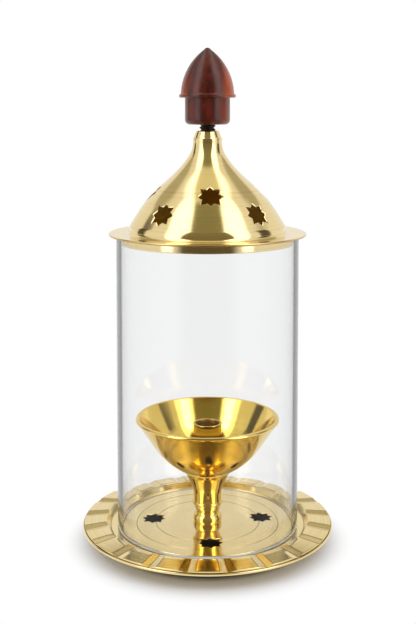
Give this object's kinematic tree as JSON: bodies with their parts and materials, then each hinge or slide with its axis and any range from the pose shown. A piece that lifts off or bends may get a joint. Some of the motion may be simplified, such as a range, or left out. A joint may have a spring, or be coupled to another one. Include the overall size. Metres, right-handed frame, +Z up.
{
  "type": "akhand diya",
  "caption": "Brass oil lamp: oil bowl on a turned stem over a fluted plate, under a lift-off glass chimney and a pierced lift-off lid with a wooden knob.",
  "frame": {"origin": "on the ground below the middle of the plate, at the underside of the feet", "axes": "+Z up along the lamp's axis, -Y towards the front of the picture, +X to its right"},
  "size_m": [0.125, 0.125, 0.246],
  "materials": {
    "pale_brass": "polished, pale gold",
    "golden_brass": "polished, deep gold",
    "bronze": "dark cast",
    "clear_glass": "clear, fire-polished rims",
    "black_steel": "black oxide",
    "plain_steel": "zinc plated",
    "lacquered_wood": "gloss red-brown lacquer"
  },
  "bodies": {
    "base": {"base_plate": "pale_brass", "foot_front_right": "bronze", "foot_left": "bronze", "foot_back": "bronze", "stem_knop": "golden_brass", "stem_trumpet": "golden_brass", "oil_bowl": "golden_brass", "stem_screw": "plain_steel", "screw_washer": "plain_steel"},
    "wick": {"wick_tube": "golden_brass"},
    "chimney": {"glass_chimney": "clear_glass"},
    "lid": {"lid_hood": "pale_brass", "lid_collar": "pale_brass", "neck_bush": "pale_brass", "lid_stud": "black_steel", "stud_washer": "plain_steel", "stud_nut": "plain_steel"},
    "finial": {"knob": "lacquered_wood", "knob_insert": "golden_brass"}
  },
  "joints": [
    {"name": "wick_lift", "type": "slide", "parent": "base", "child": "wick", "axis": [0, 0, 1], "range_m": [0, 0.03]},
    {"name": "chimney_lift", "type": "slide", "parent": "base", "child": "chimney", "axis": [0, 0, 1], "range_m": [0, 0.06]},
    {"name": "lid_lift", "type": "slide", "parent": "chimney", "child": "lid", "axis": [0, 0, 1], "range_m": [0, 0.05]},
    {"name": "knob_turn", "type": "hinge", "parent": "lid", "child": "finial", "pos_m": [0, 0, 0.208], "axis": [0, 0, 1], "continuous": true}
  ]
}
